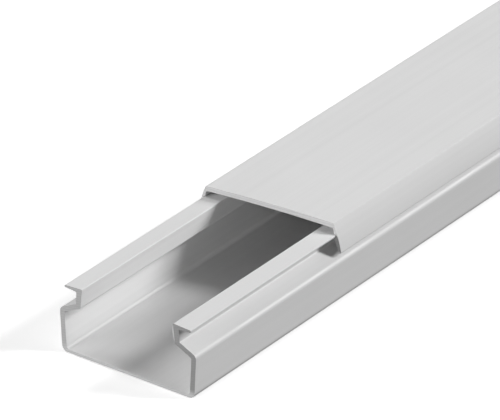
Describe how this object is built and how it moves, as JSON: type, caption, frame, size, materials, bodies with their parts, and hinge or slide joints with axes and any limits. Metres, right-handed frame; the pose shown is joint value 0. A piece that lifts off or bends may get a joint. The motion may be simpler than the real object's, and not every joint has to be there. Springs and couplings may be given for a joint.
{
  "type": "cord cover raceway",
  "caption": "Straight two-piece cord cover raceway: a shallow channel with a flat back and inward necks with lips, and a flat clip-on cover that slides along it.",
  "frame": {"origin": "centre of the base's flat back, halfway along its length", "axes": "+Y along the raceway, away from the end where the cover is drawn back; +X across it; +Z from the back to the cover"},
  "size_m": [0.03, 0.4405, 0.016],
  "materials": {
    "base_upvc": "extruded white rigid PVC, satin, with faint die lines along its length",
    "cover_upvc": "extruded white rigid PVC, satin, with faint die lines along its length"
  },
  "bodies": {
    "base": {"base": "base_upvc"},
    "cover": {"cover": "cover_upvc"}
  },
  "joints": [
    {"name": "cover_slide", "type": "slide", "parent": "base", "child": "cover", "axis": [0, 1, 0], "range_m": [-0.0405, 0.1595]}
  ]
}
